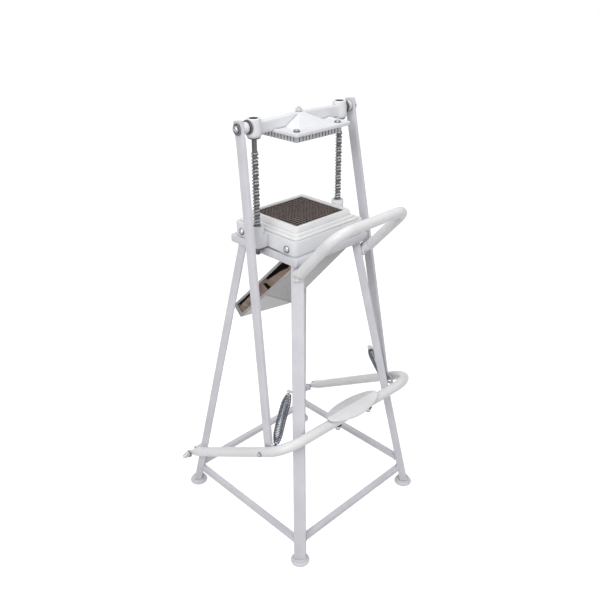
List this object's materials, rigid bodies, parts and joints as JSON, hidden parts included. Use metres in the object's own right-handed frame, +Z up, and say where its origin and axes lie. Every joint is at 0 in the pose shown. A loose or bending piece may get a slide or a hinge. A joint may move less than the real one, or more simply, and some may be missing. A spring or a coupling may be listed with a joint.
{
  "type": "french fry cutter",
  "caption": "Foot-operated french fry cutter on a tall splayed stand: the pedal pulls a sprung press head down guide rods onto a knife grid above a sloping chute.",
  "frame": {"origin": "on the floor, in the middle of the bounding box, between the four feet", "axes": "+Z up along the guide rods, -Y towards the operator and the foot plate, +X towards the right legs"},
  "size_m": [0.537, 0.4776, 1.0684],
  "materials": {
    "powder_coat": "satin white powder coat",
    "bright_coat": "smooth white powder coat",
    "machined_steel": "machined",
    "plated_fasteners": "bright plated",
    "spring_wire": "zinc-grey wire",
    "knife_steel": "bare cutting steel",
    "bare_sheet": "bare sheet"
  },
  "bodies": {
    "stand": {"leg_front_left": "powder_coat", "leg_front_right": "powder_coat", "leg_back_left": "powder_coat", "leg_back_right": "powder_coat", "foot_front_left": "powder_coat", "foot_front_right": "powder_coat", "foot_back_left": "powder_coat", "foot_back_right": "powder_coat", "stretcher_front": "powder_coat", "stretcher_left": "powder_coat", "stretcher_back": "powder_coat", "stretcher_right": "powder_coat", "table_frame": "powder_coat", "casting": "powder_coat", "casting_bolt_front_left": "plated_fasteners", "casting_bolt_front_right": "plated_fasteners", "casting_bolt_back_left": "plated_fasteners", "casting_bolt_back_right": "plated_fasteners", "blade_holder": "powder_coat", "knife_grid": "knife_steel", "guide_rod_left": "machined_steel", "guide_rod_right": "machined_steel", "rod_spring_left": "spring_wire", "rod_spring_right": "spring_wire", "chute": "powder_coat", "chute_panel_left": "bare_sheet", "chute_panel_right": "bare_sheet", "grab_handle": "bright_coat", "handle_bolt_left": "plated_fasteners", "handle_bolt_right": "plated_fasteners", "pedal_pin_left": "plated_fasteners", "pedal_pin_right": "plated_fasteners", "pedal_lug_left": "powder_coat", "pedal_lug_right": "powder_coat", "spring_anchor_left": "powder_coat", "spring_anchor_right": "powder_coat", "pedal_spring_left": "spring_wire", "pedal_spring_right": "spring_wire"},
    "crosshead": {"crosshead": "powder_coat", "bush_left": "machined_steel", "bush_right": "machined_steel", "pusher": "machined_steel", "pusher_bolt_1": "plated_fasteners", "pusher_bolt_2": "plated_fasteners", "pusher_bolt_3": "plated_fasteners", "pusher_bolt_4": "plated_fasteners", "centre_stud": "plated_fasteners", "link_bolt_left": "plated_fasteners", "link_bolt_right": "plated_fasteners"},
    "pull_bar_left": {"pull_bar_left": "powder_coat"},
    "pull_bar_right": {"pull_bar_right": "powder_coat"},
    "pedal": {"pedal": "bright_coat", "foot_plate": "bright_coat", "foot_plate_bolt_left": "plated_fasteners", "foot_plate_bolt_right": "plated_fasteners", "pedal_bolt_left": "plated_fasteners", "pedal_bolt_right": "plated_fasteners"}
  },
  "joints": [
    {"name": "crosshead_slide", "type": "slide", "parent": "stand", "child": "crosshead", "axis": [0, 0, 1], "range_m": [-0.197, 0], "stiffness_N_per_m": 350, "springref_m": 0.4, "deforming": ["rod_spring_left", "rod_spring_right"]},
    {"name": "pull_bar_left_hinge", "type": "hinge", "parent": "crosshead", "child": "pull_bar_left", "pos_m": [-0.173, 0.00489, 1.0461], "axis": [1, 0, 0], "range_deg": [-3.61, 0]},
    {"name": "pull_bar_right_hinge", "type": "hinge", "parent": "crosshead", "child": "pull_bar_right", "pos_m": [0.173, 0.00489, 1.0461], "axis": [1, 0, 0], "range_deg": [-3.61, 0]},
    {"name": "pedal_hinge", "type": "hinge", "parent": "stand", "child": "pedal", "pos_m": [0, 0.19492, 0.1284], "axis": [1, 0, 0], "range_deg": [0, 32.21], "stiffness_Nm_per_rad": 10, "springref_deg": -45.84, "deforming": ["pedal_spring_left", "pedal_spring_right"]}
  ],
  "couplings": [
    {"joint": "pedal_hinge", "follows": "crosshead_slide", "rad_per_m": -2.8528},
    {"joint": "pull_bar_left_hinge", "follows": "crosshead_slide", "rad_per_m": 0.3189},
    {"joint": "pull_bar_right_hinge", "follows": "crosshead_slide", "rad_per_m": 0.3189}
  ]
}
